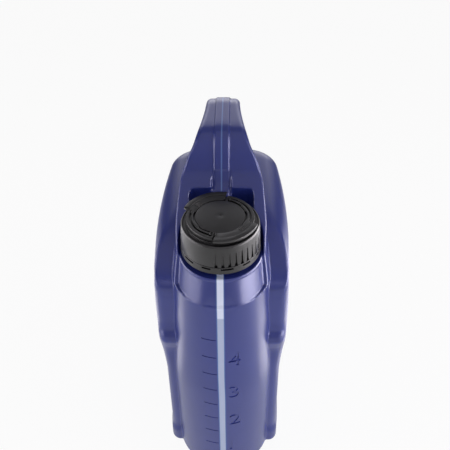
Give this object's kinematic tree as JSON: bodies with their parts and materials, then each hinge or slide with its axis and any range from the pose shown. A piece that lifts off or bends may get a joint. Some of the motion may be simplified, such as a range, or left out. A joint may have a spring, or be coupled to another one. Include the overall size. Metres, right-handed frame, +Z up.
{
  "type": "motor oil bottle",
  "caption": "Tall moulded oil jug with a rear carry handle, a sight strip down its front and a screw closure holding a pull-out spout under a cap with folding wings.",
  "frame": {"origin": "on the floor, at the middle of the jug's width and depth", "axes": "+Z up along the neck's axis, -Y towards the front column with the sight strip, +Y towards the handle, +X to the right of someone who faces the front"},
  "size_m": [0.1262, 0.2086, 0.3501],
  "materials": {
    "blue_polyethylene": "blown high-density polyethylene, satin",
    "black_polypropylene": "moulded, satin",
    "grey_spout": "soft moulded polyethylene",
    "white_foam": "foamed sealing sheet",
    "engine_oil": "clear amber liquid"
  },
  "bodies": {
    "jug": {"bottle": "blue_polyethylene", "oil_fill": "engine_oil", "tamper_band": "black_polypropylene"},
    "seal": {"neck_gasket": "white_foam"},
    "closure": {"closure": "black_polypropylene"},
    "spout": {"spout": "grey_spout"},
    "cap_seal": {"spout_cap_liner": "white_foam"},
    "spout_cap": {"spout_cap": "black_polypropylene"},
    "wing_left": {"wing_left": "black_polypropylene"},
    "wing_right": {"wing_right": "black_polypropylene"}
  },
  "joints": [
    {"name": "closure_lift", "type": "slide", "parent": "jug", "child": "seal", "axis": [0, 0, 1], "range_m": [0, 0.0101]},
    {"name": "closure_turn", "type": "hinge", "parent": "seal", "child": "closure", "pos_m": [0, -0.0557, 0.2975], "axis": [0, 0, 1], "range_deg": [0, 720]},
    {"name": "spout_pull", "type": "slide", "parent": "closure", "child": "spout", "axis": [0, 0, 1], "range_m": [0, 0.0355]},
    {"name": "cap_lift", "type": "slide", "parent": "spout", "child": "cap_seal", "axis": [0, 0, 1], "range_m": [0, 0.0081]},
    {"name": "cap_turn", "type": "hinge", "parent": "cap_seal", "child": "spout_cap", "pos_m": [0, -0.0557, 0.3118], "axis": [0, 0, 1], "range_deg": [0, 720]},
    {"name": "wing_left_fold", "type": "hinge", "parent": "spout_cap", "child": "wing_left", "pos_m": [-0.00214, -0.05521, 0.31315], "axis": [0.225, 0.9744, 0], "range_deg": [0, 90]},
    {"name": "wing_right_fold", "type": "hinge", "parent": "spout_cap", "child": "wing_right", "pos_m": [0.00214, -0.05619, 0.31315], "axis": [-0.225, -0.9744, 0], "range_deg": [0, 90]}
  ],
  "couplings": [
    {"joint": "closure_lift", "follows": "closure_turn", "m_per_rad": 0.00079577},
    {"joint": "cap_lift", "follows": "cap_turn", "m_per_rad": 0.00063662}
  ]
}
